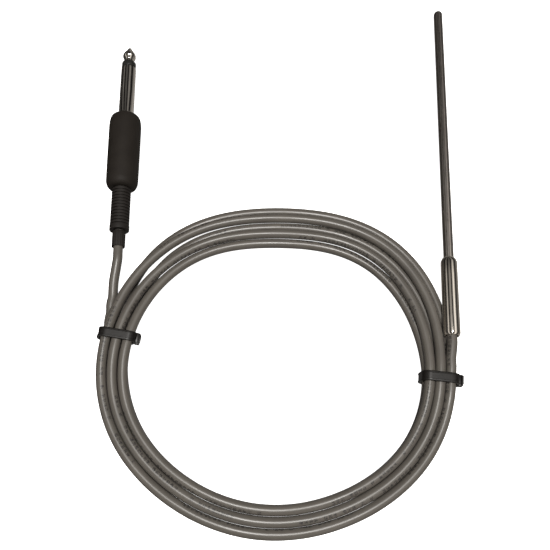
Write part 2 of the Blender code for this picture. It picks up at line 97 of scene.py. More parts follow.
class Nodes:
    """A node tree with short calls for the nodes that are used here."""

    def __init__(self, tree):
        self.tree = tree

    def node(self, kind, **settings):
        made = self.tree.nodes.new("ShaderNode" + kind)
        for key, value in settings.items():
            setattr(made, key, value)
        return made

    def feed(self, socket, source):
        if hasattr(source, "links"):
            self.tree.links.new(source, socket)
        else:
            socket.default_value = source

    def math(self, operation, first, second=0.0, third=0.0):
        made = self.node("Math", operation=operation)
        for socket, source in zip(made.inputs, (first, second, third)):
            self.feed(socket, source)
        return made.outputs[0]

    def parts(self, vector):
        made = self.node("SeparateXYZ")
        self.feed(made.inputs[0], vector)
        return tuple(made.outputs)

    def stretched(self, vector, scale):
        made = self.node("Mapping")
        self.feed(made.inputs["Vector"], vector)
        made.inputs["Scale"].default_value = scale
        return made.outputs[0]

    def noise(self, vector, scale, detail=3.0, rough=0.5):
        made = self.node("TexNoise")
        self.feed(made.inputs["Vector"], vector)
        made.inputs["Scale"].default_value = scale
        made.inputs["Detail"].default_value = detail
        made.inputs["Roughness"].default_value = rough
        return made.outputs[0]

    def remap(self, source, low, high, new_low, new_high):
        made = self.node("MapRange")
        for socket, value in zip(made.inputs, (source, low, high, new_low, new_high)):
            self.feed(socket, value)
        return made.outputs[0]

    def mix(self, share, first, second):
        made = self.node("Mix", data_type="RGBA")
        self.feed(made.inputs[MIX_SHARE], share)
        for number, source in zip(MIX_COLOURS, (first, second)):
            self.feed(made.inputs[number], (*source, 1) if isinstance(source, tuple) else source)
        return made.outputs[MIX_RESULT]


class Shader(Nodes):
    """A Principled material, with short calls for what feeds its surface."""

    def __init__(self, name, colour, roughness, metallic=0.0, **settings):
        self.material = bpy.data.materials.new(name)
        self.material.use_nodes = True
        super().__init__(self.material.node_tree)
        self.surface = self.tree.nodes["Principled BSDF"]
        self.surface.inputs["Base Color"].default_value = (*colour, 1)
        self.surface.inputs["Roughness"].default_value = roughness
        self.surface.inputs["Metallic"].default_value = metallic
        for key, value in settings.items():
            self.surface.inputs[key.replace("_", " ")].default_value = value
        self.position = self.node("TexCoord").outputs["Object"]

    def colour(self, source):
        self.feed(self.surface.inputs["Base Color"], source)

    def roughness(self, source):
        self.feed(self.surface.inputs["Roughness"], source)

    def bump(self, height, strength, distance):
        made = self.node("Bump")
        made.inputs["Strength"].default_value = strength
        made.inputs["Distance"].default_value = distance
        self.feed(made.inputs["Height"], height)
        before = self.surface.inputs["Normal"].links
        if before:
            self.feed(made.inputs["Normal"], before[0].from_socket)
        self.feed(self.surface.inputs["Normal"], made.outputs["Normal"])


# ---------------------------------------------------------------- camera and light

CAMERA_PLACE = (-70.9 * MM, -135.2 * MM, 228.5 * MM)
CAMERA_TILT = math.radians(20)
CAMERA_LENS = 39.7
CAMERA_SENSOR = 36
CAMERA_NEAR = 0.01
KEY_PLACE = (-0.07, -0.15, 0.9)
KEY_TARGET = (-0.07, -0.05, 0.0)
KEY_SIZE = (0.16, 0.16)
KEY_POWER = 8.0
KEY_COLOUR = (1.0, 0.975, 0.94)
STUDIO_TINT = (1, 0.95, 0.89)
STUDIO_STRIPS = (  # degrees from straight up towards +X, and the strength of the light from there
    (-180, 0.25), (-150, 0.22), (-135, 0.05), (-74, 0.05), (-66, 0.12), (-61, 0.9), (-54, 0.9),
    (-47, 0.2), (-36, 0.01), (-27, 0.01), (-22, 0.42), (-1, 0.42), (4, 0.01), (16, 0.01), (22, 0.5),
    (34, 1.3), (44, 1.3), (52, 0.3), (62, 0.08), (72, 0.02), (80, 0.04), (90, 0.2), (110, 0.25),
    (130, 0.42), (150, 0.4), (180, 0.25),
)
FADE_START = 0.34  # the +Y part of a direction where the strips begin to fade, and where they end
FADE_END = 0.6
FADE_TO = 0.22


def add_camera():
    data = bpy.data.cameras.new("camera")
    data.lens = CAMERA_LENS
    data.sensor_width = CAMERA_SENSOR
    data.clip_start = CAMERA_NEAR
    made = bpy.data.objects.new("camera", data)
    made.location = CAMERA_PLACE
    made.rotation_euler = (CAMERA_TILT, 0, 0)
    bpy.context.scene.collection.objects.link(made)
    bpy.context.scene.camera = made


def add_key():
    data = bpy.data.lights.new("key", "AREA")
    data.shape = "RECTANGLE"
    data.size, data.size_y = KEY_SIZE
    data.energy = KEY_POWER
    data.color = KEY_COLOUR
    made = bpy.data.objects.new("key", data)
    made.location = KEY_PLACE
    made.rotation_euler = (Vector(KEY_TARGET) - Vector(KEY_PLACE)).to_track_quat("-Z", "Y").to_euler()
    bpy.context.scene.collection.objects.link(made)


def add_room():
    """Soft boxes along both sides of a dim warm room. Above the floor they fade towards +Y."""
    world = bpy.data.worlds.new("studio")
    world.use_nodes = True
    room = Nodes(world.node_tree)
    light = room.tree.nodes["Background"]
    x, y, z = room.parts(room.node("TexCoord").outputs["Generated"])
    ramp = room.node("ValToRGB")
    strongest = max(strength for _, strength in STUDIO_STRIPS)
    stops = ramp.color_ramp.elements
    while len(stops) < len(STUDIO_STRIPS):
        stops.new(0.5)
    for stop, (degrees, strength) in zip(stops, STUDIO_STRIPS):
        stop.position = (degrees + 180) / 360
        stop.color = (*(strength / strongest * part for part in STUDIO_TINT), 1)
    room.feed(ramp.inputs[0], room.remap(room.math("ARCTAN2", x, z), -math.pi, math.pi, 0, 1))
    room.feed(light.inputs["Color"], ramp.outputs[0])
    ahead = room.math("MULTIPLY", y, room.math("GREATER_THAN", z, 0.0))
    fade = room.remap(ahead, FADE_START, FADE_END, strongest, FADE_TO * strongest)
    room.feed(light.inputs["Strength"], fade)
    bpy.context.scene.world = world


def add_studio():
    add_key()
    add_room()
    bpy.context.scene.view_settings.view_transform = "Standard"


# ---------------------------------------------------------------- materials

LEGEND_DOT = 0.24 * MM  # the legend on the jacket is blocks of dots, which spell nothing
LEGEND_ROWS = 54  # rows of dots round the whole jacket
LEGEND_HALF_HEIGHT = 0.055  # as a share of the way round
MARK_COLUMNS = 7
MARK_INKED_COLUMNS = 4.5
LEGEND_REPEAT = 0.086
LEGEND_SHARE = 0.74
DOTS_LEFT_OUT = 0.42
MARKS_LEFT_OUT = 0.22
INK_STRENGTH = 0.85


def legend_ink(s, run, turn):
    """How inked the jacket is, from the length run along it and the share of the way round."""
    column = s.math("FLOOR", s.math("DIVIDE", run, LEGEND_DOT))
    row = s.math("FLOOR", s.math("MULTIPLY", turn, LEGEND_ROWS))
    cell = s.node("CombineXYZ")
    s.feed(cell.inputs[0], column)
    s.feed(cell.inputs[1], row)
    random_dot = s.node("TexWhiteNoise", noise_dimensions="2D")
    s.feed(random_dot.inputs["Vector"], cell.outputs[0])
    random_mark = s.node("TexWhiteNoise", noise_dimensions="1D")
    s.feed(random_mark.inputs["W"], s.math("FLOOR", s.math("DIVIDE", run, MARK_COLUMNS * LEGEND_DOT)))
    legend_run = s.math("FRACT", s.math("DIVIDE", run, LEGEND_REPEAT))
    off_middle = s.math("ABSOLUTE", s.math("SUBTRACT", turn, 0.5))
    tests = (
        s.math("GREATER_THAN", random_dot.outputs["Value"], DOTS_LEFT_OUT),
        s.math("LESS_THAN", s.math("MODULO", column, MARK_COLUMNS), MARK_INKED_COLUMNS),
        s.math("GREATER_THAN", random_mark.outputs["Value"], MARKS_LEFT_OUT),
        s.math("LESS_THAN", legend_run, LEGEND_SHARE),
        s.math("LESS_THAN", off_middle, LEGEND_HALF_HEIGHT),
    )
    ink = INK_STRENGTH
    for test in tests:
        ink = s.math("MULTIPLY", test, ink)
    return ink


def lead_jacket():
    """Satin grey PVC, drawn lengthwise, with a faint dot-printed legend of no letters along it."""
    s = Shader("lead_jacket", (0.12, 0.112, 0.1), 0.3, IOR=1.5)
    uv = s.node("UVMap", uv_map="lead").outputs[0]
    run, turn, _ = s.parts(uv)
    blotch = s.noise(s.position, 90, 4)
    fine = s.noise(s.position, 1400, 2)
    drawn = s.noise(s.stretched(uv, (30, 34, 1)), 1.0, 3)
    base = s.mix(s.remap(blotch, 0.3, 0.7, 0, 1), (0.092, 0.084, 0.074), (0.113, 0.103, 0.09))
    base = s.mix(s.remap(drawn, 0.35, 0.75, 0, 0.35), base, (0.066, 0.06, 0.053))
    s.colour(s.mix(legend_ink(s, run, turn), base, (0.016, 0.015, 0.015)))
    s.roughness(s.remap(s.math("ADD", blotch, drawn), 0.6, 1.4, 0.3, 0.42))
    s.bump(drawn, 0.12, 0.1 * MM)
    s.bump(fine, 0.1, 0.02 * MM)
    return s.material


def moulded(name, dark, light, rough, grain, grain_depth, **settings):
    """A moulded polymer: two close tones, a fine grain and faint handling wear."""
    s = Shader(name, dark, rough, **settings)
    tone = s.noise(s.position, 160, 4)
    pits = s.noise(s.position, grain, 2)
    rub = s.noise(s.stretched(s.position, (1, 0.15, 1)), 420, 4, 0.7)
    base = s.mix(s.remap(tone, 0.3, 0.7, 0, 1), dark, light)
    s.colour(s.mix(s.remap(rub, 0.62, 0.8, 0, 0.4), base, tuple(1.8 * part for part in light)))
    s.roughness(s.remap(s.math("ADD", tone, pits), 0.6, 1.4, rough - 0.06, rough + 0.08))
    s.bump(pits, 0.35, grain_depth)
    s.bump(rub, 0.08, 0.03 * MM)
    return s.material


def metal(name, colour, dull, rough, lines, lines_strength, stretch):
    """A worked metal: fine lines one way, cloudy tone and small scuffs."""
    s = Shader(name, colour, rough, 1.0)
    cloud = s.noise(s.position, 120, 4)
    drawn = s.noise(s.stretched(s.position, stretch), lines, 3, 0.6)
    scuff = s.noise(s.stretched(s.position, (1, 0.3, 1)), 900, 5, 0.75)
    s.colour(s.mix(s.remap(cloud, 0.35, 0.75, 0, 0.6), colour, dull))
    wear = s.math("ADD", s.remap(drawn, 0.3, 0.7, 0, 0.06), s.remap(scuff, 0.55, 0.8, 0, 0.08))
    s.roughness(s.math("ADD", wear, rough))
    s.bump(drawn, lines_strength, 0.02 * MM)
    s.bump(scuff, 0.05, 0.01 * MM)
    return s.material


def build_looks():
    return {
        "jacket": lead_jacket(),
        "nylon": moulded(
            "tie_nylon", (0.005, 0.0042, 0.0038), (0.009, 0.0076, 0.0066), 0.4, 2600, 0.03 * MM,
            Specular_IOR_Level=0.35,
        ),
        "cover": moulded(
            "cover_plastic", (0.0135, 0.011, 0.009), (0.0175, 0.0145, 0.012), 0.62, 5200, 0.05 * MM,
            Specular_IOR_Level=0.16,
        ),
        "boot": moulded(
            "boot_vinyl", (0.012, 0.01, 0.009), (0.017, 0.0145, 0.013), 0.6, 3800, 0.04 * MM,
            Specular_IOR_Level=0.22,
        ),
        "insulator": moulded(
            "insulator_ring", (0.01, 0.01, 0.01), (0.016, 0.016, 0.015), 0.35, 3000, 0.02 * MM,
        ),
        "nickel": metal("nickel_plate", (0.66, 0.63, 0.59), (0.5, 0.47, 0.43), 0.1, 2600, 0.1, (1, 1, 14)),
        "sleeve": metal(
            "polished_sleeve", (0.72, 0.68, 0.62), (0.6, 0.55, 0.49), 0.09, 2200, 0.12, (1, 0.04, 1),
        ),
        "sheath": metal("drawn_sheath", (0.46, 0.43, 0.4), (0.33, 0.3, 0.28), 0.26, 1900, 0.3, (1, 0.03, 1)),
        "tinned": metal("tinned_brass", (0.62, 0.6, 0.55), (0.5, 0.47, 0.4), 0.28, 1500, 0.2, (1, 1, 1)),
        "chromel": metal("chromel_wire", (0.5, 0.46, 0.4), (0.38, 0.35, 0.3), 0.3, 2600, 0.2, (1, 0.05, 1)),
        "alumel": metal("alumel_wire", (0.42, 0.42, 0.4), (0.3, 0.3, 0.28), 0.3, 2600, 0.2, (1, 0.05, 1)),
        "vinyl": moulded(
            "clear_vinyl", (0.5, 0.48, 0.4), (0.62, 0.6, 0.52), 0.3, 1500, 0.02 * MM,
            Subsurface_Weight=0.15,
        ),
        "fibre": moulded("red_fibre", (0.2, 0.045, 0.022), (0.28, 0.07, 0.035), 0.7, 1800, 0.05 * MM),
        "ceramic": moulded(
            "white_ceramic", (0.68, 0.65, 0.58), (0.78, 0.75, 0.69), 0.65, 2400, 0.05 * MM,
        ),
        "epoxy": moulded("grey_epoxy", (0.04, 0.04, 0.042), (0.06, 0.06, 0.06), 0.4, 900, 0.06 * MM),
        "yellow": moulded("yellow_core", (0.55, 0.36, 0.03), (0.64, 0.44, 0.06), 0.4, 2200, 0.02 * MM),
        "red": moulded("red_core", (0.42, 0.022, 0.016), (0.52, 0.035, 0.025), 0.4, 2200, 0.02 * MM),
    }


# ---------------------------------------------------------------- the path of the lead

# Each row is (degrees travelled round the coil, outward offset in mm, height in mm above the level
# that the ties lift the bundle to).
LANES = (
    # in from the plug, on the outside
    (153, 10.2, 5.0), (158, 7.6, 3.5), (165, 5.3, 2.1), (170.8, 3.9, 1.9), (353.8, 3.9, 1.9),
    # the lower layer, filled inwards and spread flat across the far side
    (400, 7.0, 1.9), (450, 7.0, 1.9), (495, 6.2, 1.9), (515, 3.5, 1.9), (530.8, 0.0, 1.9),
    (713.8, 0.0, 1.9), (765, 0.3, 1.9), (810, 0.0, 1.9), (855, -0.3, 1.9), (875, -2.0, 1.9),
    (890.8, -3.9, 1.9), (1073.8, -3.9, 1.9), (1120, -7.0, 1.9), (1170, -7.0, 1.9),
    # the upper layer, filled outwards, which sinks between the lower strands across the far side
    (1215, -6.6, 2.6), (1235, -5.4, 4.6), (1250.8, -4.1, 5.7), (1350, -4.0, 5.7), (1433.8, -4.0, 5.7),
    (1480, -3.4, 4.4), (1530, -3.5, 3.4), (1575, -3.0, 4.2), (1595, -1.0, 5.2), (1610.8, -0.2, 5.7),
    (1793.8, -0.2, 5.7), (1840, 3.4, 4.4), (1890, 3.5, 3.4), (1935, 3.6, 4.2), (1955, 3.7, 5.2),
    (1970.8, 3.6, 5.7), (2153.8, 3.6, 5.7),
    # out to the probe
    (2159, 3.9, 6.0), (2163, 4.2, 6.5),
)
STATIONS = 144  # to a turn
STATION_ANGLE = 360 / STATIONS
LEAD_IN_PLUG = (-23.4, -36.4, -51.4, -62.4, -66.4)  # mm along the plug's axis
LEAD_IN_PROBE = (-3, 0, 4, 8)  # mm along the probe's axis
LEAD_SPACING = 1.5 * MM
CURVE_STEPS = 8

# How the strands settle beside and on each other
SETTLE_STEPS = 260
PULL_STEPS = 200  # the steps in which a strand is still drawn to its lane
PULL = 0.03
PUSH = 0.9
PUSH_ROUNDS = 2
HELD_STATIONS = 14  # at each end
STRANDS_APART = 2.02 * CABLE_RADIUS
FLOOR_GAP = 0.02 * MM
MOST_TURNS_APART = 5


def coil_radius(angle):
    """Distance from the coil's centre to the middle of the bundle."""
    across = math.cos(angle) / COIL_HALF_WIDTH
    deep = math.sin(angle) / COIL_HALF_DEPTH
    shoulder = SHOULDER + FAR_SHOULDER * math.sin(angle) + RIGHT_SHOULDER * math.cos(angle)
    bulge = shoulder * math.sin(2 * angle) ** 2
    return (1 + bulge) / math.hypot(across, deep)


def coil_point(degrees, outward, height):
    angle = math.radians(degrees)
    reach = coil_radius(angle) + outward
    return COIL_CENTRE + Vector((reach * math.cos(angle), reach * math.sin(angle), height))


def tie_lift(degrees):
    """How far the strap under the bundle raises it."""
    nearest = min(abs(math.remainder(degrees - tie, 360)) for tie in TIE_ANGLES.values())
    fade = (nearest - TIE_LEVEL_ANGLE) / (TIE_LIFT_ANGLE - TIE_LEVEL_ANGLE)
    return TIE_LIFT * (1 + math.cos(math.pi * min(1.0, max(0.0, fade)))) / 2


def lane_tracks():
    """Outward offset and height at every station, eased from one row of LANES to the next."""
    rows = np.array(LANES)
    angles = np.arange(rows[0, 0], rows[-1, 0], STATION_ANGLE)
    place = np.clip(np.searchsorted(rows[:, 0], angles, side="right") - 1, 0, len(rows) - 2)
    share = (angles - rows[place, 0]) / (rows[place + 1, 0] - rows[place, 0])
    share = (share * share * (3 - 2 * share))[:, None]
    tracks = (rows[place, 1:] * (1 - share) + rows[place + 1, 1:] * share) * MM
    tracks[:, 1] += [tie_lift(angle) for angle in angles]
    return angles, tracks


def settle(angles, tracks):
    """Eases touching strands apart to one diameter, and off the surface, and keeps them smooth."""
    floor = CABLE_RADIUS + np.array([tie_lift(angle) for angle in angles]) + FLOOR_GAP
    wanted = tracks.copy()
    held = HELD_STATIONS
    for step in range(SETTLE_STEPS):
        smooth = tracks.copy()
        smooth[1:-1] = (tracks[:-2] + 2 * tracks[1:-1] + tracks[2:]) / 4
        tracks[held:-held] = smooth[held:-held]
        if step < PULL_STEPS:
            tracks += PULL * (wanted - tracks)
        for _ in range(PUSH_ROUNDS):
            push = np.zeros_like(tracks)
            for turns in range(1, MOST_TURNS_APART + 1):
                gap = tracks[turns * STATIONS:] - tracks[:-turns * STATIONS]
                length = np.maximum(np.linalg.norm(gap, axis=1, keepdims=True), 1e-6)
                move = gap / length * np.maximum(0, STRANDS_APART - length) / 2
                push[turns * STATIONS:] += move
                push[:-turns * STATIONS] -= move
            push[:held // 2] = 0
            push[-held // 2:] = 0
            tracks += PUSH * push
            tracks[:, 1] = np.maximum(tracks[:, 1], floor)
    return tracks


def catmull(points, spacing):
    """Evenly spaced points on a Catmull-Rom curve through points, and the curve's length."""
    padded = [2 * points[0] - points[1], *points, 2 * points[-1] - points[-2]]
    fine = [points[0]]
    for a, b, c, d in zip(padded, padded[1:], padded[2:], padded[3:]):
        for step in range(1, CURVE_STEPS + 1):
            t = step / CURVE_STEPS
            fine.append(0.5 * (
                2 * b + (c - a) * t + (2 * a - 5 * b + 4 * c - d) * t * t + (3 * b - a - 3 * c + d) * t ** 3
            ))
    fine = np.array(fine)
    lengths = np.concatenate([[0], np.cumsum(np.linalg.norm(np.diff(fine, axis=0), axis=1))])
    count = round(lengths[-1] / spacing)
    wanted = np.linspace(0, lengths[-1], count + 1)
    even = np.stack([np.interp(wanted, lengths, fine[:, axis]) for axis in range(3)], axis=1)
    return even, lengths[-1]


def lead_route():
    """The coil's stations and their settled tracks, then the whole lead from the probe to the plug."""
    angles, tracks = lane_tracks()
    tracks = settle(angles, tracks)
    coil = [coil_point(angle, *track) for angle, track in zip(angles, tracks)]
    plug_end = [PLUG @ Vector((0, 0, z * MM)) for z in LEAD_IN_PLUG]
    probe_end = [PROBE @ Vector((0, 0, z * MM)) for z in LEAD_IN_PROBE]
    points, length = catmull(plug_end + coil + probe_end, LEAD_SPACING)
    return angles, tracks, points[::-1], length


# ---------------------------------------------------------------- mesh helpers

def add_piece(name, bm, look, body, nodes, place=None, sharp=38):
    """A finished piece from bm: it stands for the CAD nodes and moves with the body."""
    bmesh.ops.recalc_face_normals(bm, faces=bm.faces)
    if place is not None:
        bmesh.ops.transform(bm, matrix=place, verts=bm.verts)
    mesh = bpy.data.meshes.new(name)
    bm.to_mesh(mesh)
    bm.free()
    mesh.materials.append(look)
    mesh.shade_smooth()
    mesh.set_sharp_from_angle(angle=math.radians(sharp))
    made = bpy.data.objects.new(name, mesh)
    bpy.context.scene.collection.objects.link(made)
    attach(made, body)
    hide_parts(*nodes)
    return made


def skin(bm, rings):
    """Faces between neighbouring rings of vertices, and from the last ring back to the first.

    A point on the axis is a ring of one vertex repeated, so its faces are triangles."""
    for first, second in zip(rings, rings[1:] + rings[:1]):
        for corners in zip(first, first[1:] + first[:1], second[1:] + second[:1], second):
            corners = list(dict.fromkeys(corners))
            if len(corners) > 2:
                bm.faces.new(corners)


def turned(name, outline, look, body, nodes, place, sides=72, shape=None):
    """A body of revolution about local Z from a closed outline of (radius, height) in mm.

    shape(radius, height, angle) may give back another radius, for flutes or a thread."""
    bm = bmesh.new()
    rows = []
    for radius, height in outline:
        if radius == 0:
            rows.append([bm.verts.new((0, 0, height * MM))] * sides)
            continue
        row = []
        for side in range(sides):
            angle = math.tau * side / sides
            reach = (shape(radius, height, angle) if shape else radius) * MM
            row.append(bm.verts.new((reach * math.cos(angle), reach * math.sin(angle), height * MM)))
        rows.append(row)
    skin(bm, rows)
    return add_piece(name, bm, look, body, nodes, place)


def arc(centre_radius, centre_height, size, start, end, steps=5):
    """Points on a round edge of an outline, angles in degrees from outward to forward."""
    angles = [math.radians(start + (end - start) * step / steps) for step in range(steps + 1)]
    return [(centre_radius + size * math.cos(a), centre_height + size * math.sin(a)) for a in angles]


# ---------------------------------------------------------------- the lead and its ties

LEAD_SIDES = 16
LEAD_TWIST = 1.15  # radians that the jacket turns either way
TWIST_RUN = 0.57
TWIST_START = 0.6


def lead_rings(bm, points, step):
    """A ring of vertices round each point, with the jacket turning slowly to and fro."""
    tangents = np.gradient(points, axis=0)
    tangents /= np.linalg.norm(tangents, axis=1, keepdims=True)
    rings = []
    for number, (point, tangent) in enumerate(zip(points, tangents)):
        run = number * step
        twist = LEAD_TWIST * math.sin(run * math.tau / TWIST_RUN + TWIST_START)
        ahead = Vector(tangent)
        up = Vector((0, 0, 1))
        up = (up - ahead * up.dot(ahead)).normalized()
        side = ahead.cross(up)
        ring = []
        for spot in range(LEAD_SIDES):
            angle = math.tau * spot / LEAD_SIDES - math.pi + twist
            reach = CABLE_RADIUS * (math.cos(angle) * up + math.sin(angle) * side)
            ring.append(bm.verts.new(Vector(point) + reach))
        rings.append(ring)
    return rings


def add_lead(look, points, length):
    """The jacket as one tube along the whole route, with a map of (length run, share of the way round)."""
    bm = bmesh.new()
    layer = bm.loops.layers.uv.new("lead")
    step = length / (len(points) - 1)
    rings = lead_rings(bm, points, step)
    for number, (first, second) in enumerate(zip(rings, rings[1:])):
        for spot in range(LEAD_SIDES):
            following = (spot + 1) % LEAD_SIDES
            face = bm.faces.new((first[spot], first[following], second[following], second[spot]))
            marks = ((number, spot), (number, spot + 1), (number + 1, spot + 1), (number + 1, spot))
            for loop, (along_count, round_count) in zip(face.loops, marks):
                loop[layer].uv = (along_count * step, round_count / LEAD_SIDES)
    bm.faces.new(rings[0])
    bm.faces.new(rings[-1])
    nodes = ("cable_to_plug", "cable_coil", "cable_to_probe")
    return add_piece("lead", bm, look, ROOT, nodes, sharp=60)


def hull(points):
    """The convex hull of 2-D points, counter-clockwise."""
    points = sorted(points)

    def half(ordered):
        kept = []
        for p in ordered:
            while len(kept) > 1 and (
                (kept[-1][0] - kept[-2][0]) * (p[1] - kept[-2][1])
                - (kept[-1][1] - kept[-2][1]) * (p[0] - kept[-2][0])
            ) <= 0:
                kept.pop()
            kept.append(p)
        return kept[:-1]

    return half(points) + half(points[::-1])


def even_loop(points, count):
    """count evenly spaced points round a closed outline."""
    outline = np.array(points + points[:1])
    lengths = np.concatenate([[0], np.cumsum(np.linalg.norm(np.diff(outline, axis=0), axis=1))])
    wanted = np.linspace(0, lengths[-1], count, endpoint=False)
    return np.stack([np.interp(wanted, lengths, outline[:, axis]) for axis in range(2)], axis=1)


def bevelled_box(bm, size, place, bevel):
    """A box of size and bevel in mm."""
    scale = Matrix.Diagonal((*(Vector(size) * MM), 1))
    made = bmesh.ops.create_cube(bm, size=1, matrix=place @ scale)
    edges = list({edge for vert in made["verts"] for edge in vert.link_edges})
    bmesh.ops.bevel(bm, geom=edges, offset=bevel * MM, segments=2, affect="EDGES", profile=0.6)


TIE_GAP = 0.25 * MM
TIE_ROUND_STEPS = 40
TIE_STATIONS = 96
STRAP_SECTION = (  # across the strap in mm, and through it in half thicknesses
    (-1.8, -0.7), (-1.8, 0.75), (-1.6, 1.0), (-1.2, 1.0), (-1.05, 0.72), (1.05, 0.72),
    (1.2, 1.0), (1.6, 1.0), (1.8, 0.75), (1.8, -0.7), (1.5, -1.0), (-1.5, -1.0),
)
HEAD_OUTWARD = 0.4 * MM  # from the strap's outermost point to the middle of the head
HEAD_SIZE = (4.3, 1.8, 2.8)  # in mm, like the bevels
HEAD_BEVEL = 0.45
TAIL_SIZE = (3.3, 0.9, 1.6)
TAIL_BEVEL = 0.18
TAIL_OUTWARD = 0.25 * MM
TAIL_HEIGHT = 1.5 * MM
TAIL_ANGLE = math.radians(-14)
WINDOW_SIZE = (2.6, 0.5, 1.3)
WINDOW_BEVEL = 0.12
WINDOW_OUTWARD = 0.9 * MM


def tie_loop(tie_angle, angles, tracks):
    """The strap's middle line, tight round the strands, as (outward, height) points."""
    strands = [
        track for angle, track in zip(angles, tracks)
        if abs(math.remainder(angle - tie_angle, 360)) < STATION_ANGLE / 2
    ]
    reach = CABLE_RADIUS + (TIE_GAP + TIE_THICKNESS / 2)
    ring = [math.tau * step / TIE_ROUND_STEPS for step in range(TIE_ROUND_STEPS)]
    cloud = [
        (float(x) + reach * math.cos(a), float(z) + reach * math.sin(a)) for x, z in strands for a in ring
    ]
    return even_loop(hull(cloud), TIE_STATIONS)


def add_strap(bm, loop):
    """A band with raised edges along the loop, which lies in the plane of Y and Z."""
    rings = []
    count = len(loop)
    for number in range(count):
        ahead = Vector((0, *(loop[(number + 1) % count] - loop[number - 1]))).normalized()
        out = Vector((0, ahead.z, -ahead.y)) * (TIE_THICKNESS / 2)
        spot = Vector((0, *loop[number]))
        rings.append([bm.verts.new(spot + Vector((x * MM, 0, 0)) + z * out) for x, z in STRAP_SECTION])
    skin(bm, rings)


def add_tie_head(bm, loop, sign):
    """The head at the loop's outer side (sign 1) or inner side (-1), with its window and the cut tail."""
    middle_height = (loop[:, 1].min() + loop[:, 1].max()) / 2
    spot = Vector((0, sign * (max(sign * loop[:, 0]) + HEAD_OUTWARD), middle_height))
    head = Matrix.Translation(spot) @ Matrix.Rotation(0.0 if sign > 0 else math.pi, 4, "X")
    bevelled_box(bm, HEAD_SIZE, head, HEAD_BEVEL)
    tail = head @ Matrix.Translation((0, TAIL_OUTWARD, sign * TAIL_HEIGHT))
    bevelled_box(bm, TAIL_SIZE, tail @ Matrix.Rotation(TAIL_ANGLE * sign, 4, "X"), TAIL_BEVEL)
    bevelled_box(bm, WINDOW_SIZE, head @ Matrix.Translation((0, WINDOW_OUTWARD, 0)), WINDOW_BEVEL)


def add_tie(side, angles, tracks, look):
    """A nylon tie: the strap pulled round the strands, its head and the cut tail."""
    tie_angle = TIE_ANGLES[side]
    radial = math.radians(tie_angle)
    outward = Vector((math.cos(radial), math.sin(radial), 0))
    backward = Vector((math.sin(radial), -math.cos(radial), 0))
    turn = Matrix((backward, outward, Vector((0, 0, 1)))).transposed().to_4x4()
    place = Matrix.Translation(coil_point(tie_angle, 0, 0)) @ turn
    loop = tie_loop(tie_angle, angles, tracks)
    bm = bmesh.new()
    add_strap(bm, loop)
    add_tie_head(bm, loop, TIE_HEAD_SIDE[side])
    nodes = ("cable_tie_" + side,)
    return add_piece("tie_" + side, bm, look, ROOT, nodes, place, sharp=35)


# ---------------------------------------------------------------- the probe

# The profiles of the probe and the plug are in mm, along and away from their own axes.
SHEATH = SHEATH_RADIUS / MM
SHEATH_BORE = 1.63
SHEATH_REAR = 21.75
SHEATH_END = PROBE_LENGTH / MM
SLEEVE = SLEEVE_RADIUS / MM
SLEEVE_FRONT = SLEEVE_LENGTH / MM
SLEEVE_BORE = SHEATH + 0.3
SLEEVE_CAVITY = 2.6


def add_sheath(look):
    """A thin tube whose closed end is round."""
    round_start = SHEATH_END - SHEATH
    outline = [(SHEATH_BORE, SHEATH_REAR), (SHEATH, SHEATH_REAR), (SHEATH, 60), (SHEATH, 100)]
    outline += arc(0, round_start, SHEATH, 0, 80, 10)
    outline += [(0, SHEATH_END), (0, round_start), (SHEATH_BORE, round_start - 0.6)]
    return turned("sheath", outline, look, ROOT, ("sheath_tube",), PROBE, 64)


def add_sleeve(look):
    """The transition sleeve: eased ends, a bore for the lead and the sheath, and a cavity between."""
    rear = [(0.55, 0), (0.4, 0.12), (0.15, 0.6), (0, 1.2)]
    front = [(0, 1.9), (0.12, 1.3), (0.36, 0.7), (0.62, 0.25), (0.82, 0)]
    outline = [(SLEEVE_BORE, 0.15), (SLEEVE_BORE + 0.15, 0)]
    outline += [(SLEEVE - inward, height) for inward, height in rear]
    outline += [(SLEEVE, height) for height in (8, 16, 24)]
    outline += [(SLEEVE - inward, SLEEVE_FRONT - back) for inward, back in front]
    outline += [
        (SLEEVE_BORE, SLEEVE_FRONT), (SLEEVE_BORE, 21.25), (SLEEVE_CAVITY, 20.75),
        (SLEEVE_CAVITY, 10.5), (SLEEVE_BORE, 10.0),
    ]
    return turned("sleeve", outline, look, ROOT, ("transition_sleeve",), PROBE, 96)


# ---------------------------------------------------------------- the plug

GAP = 0.3  # between pieces that touch
TIP_END = 36.0
TIP_SHOULDER = TIP_END - 8.3
RING_FRONT = TIP_SHOULDER - GAP
RING_REAR = RING_FRONT - 2.6
RING_BORE = 1.4
BARREL_FRONT = RING_REAR - GAP
ROD_RADIUS = 1.1
ROD_END = -10.9
BARREL_RADIUS = 3.175
BARREL_BORE = 2.3
FLANGE_RADIUS = 4.2
BOSS_RADIUS = 3.95
BOSS_END = -7.0
COVER_FRONT = -1.1
COVER_REAR = COVER_FRONT - 34.2
COVER_THREAD = 4.25
COVER_CAVITY = 5.5
COVER_REAR_HOLE = 3.5
LEAD_BORE = 2.2  # of the boot and the collar
BOOT_FRONT = COVER_REAR - GAP
BOOT_REAR = BOOT_FRONT - 18.5
BOOT_FLANGE = 4.5
BOOT_NECK = 3.2
BOOT_RIBS = 12
RIB_CROWN = 3.8
RIB_ROOT = 3.05
BAND_RADIUS = 3.9
BAND_LENGTH = 2.3
COLLAR_FRONT = BOOT_REAR - GAP
COLLAR_REAR = COLLAR_FRONT - 6.7
COLLAR_RADIUS = 2.6
FLUTES = 20
FLUTE_DEPTH = 0.11
NECK_RADIUS = 3.6
THREAD_PITCH = 0.9
THREAD_DEPTH = 0.35
THREAD_SLOPE = 1.25


